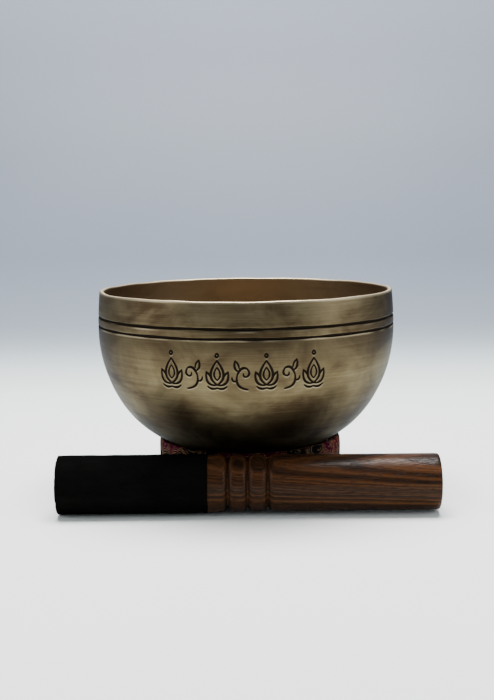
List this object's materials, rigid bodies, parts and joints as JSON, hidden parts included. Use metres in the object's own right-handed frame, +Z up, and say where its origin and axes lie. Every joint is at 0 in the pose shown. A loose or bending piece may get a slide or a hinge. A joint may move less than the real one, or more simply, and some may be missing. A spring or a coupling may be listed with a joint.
{
  "type": "singing bowl with cushion and mallet",
  "caption": "Hand-beaten bronze singing bowl standing on a brocade ring cushion, with a turned wooden mallet wrapped in suede lying in front.",
  "frame": {"origin": "on the resting surface, on the bowl's upright axis, which is under the middle of the whole set's box", "axes": "+Z up along the bowl's axis, +X along the mallet from its suede end to its handle end, -Y from the bowl to the mallet in front of it"},
  "size_m": [0.2036, 0.1708, 0.1146],
  "materials": {
    "bronze": "hand-beaten, brushed satin with an antique patina",
    "brocade": "woven brocade, magenta ground with gold, black and red figures",
    "cotton": "carded cotton stuffing",
    "thread": "twisted sewing thread",
    "rosewood": "turned, waxed",
    "suede": "black suede, napped outside"
  },
  "bodies": {
    "cushion": {"cushion_cover": "brocade", "cushion_filling": "cotton", "cushion_seam_thread": "thread"},
    "bowl": {"bowl": "bronze"},
    "mallet": {"mallet_stick": "rosewood", "suede_wrap": "suede"}
  },
  "joints": [
    {"name": "bowl_lift", "type": "slide", "parent": "cushion", "child": "bowl", "axis": [0, 0, 1], "range_m": [0, 0.15]},
    {"name": "mallet_draw", "type": "slide", "parent": "cushion", "child": "mallet", "axis": [0, -1, 0], "range_m": [0, 0.15]}
  ]
}
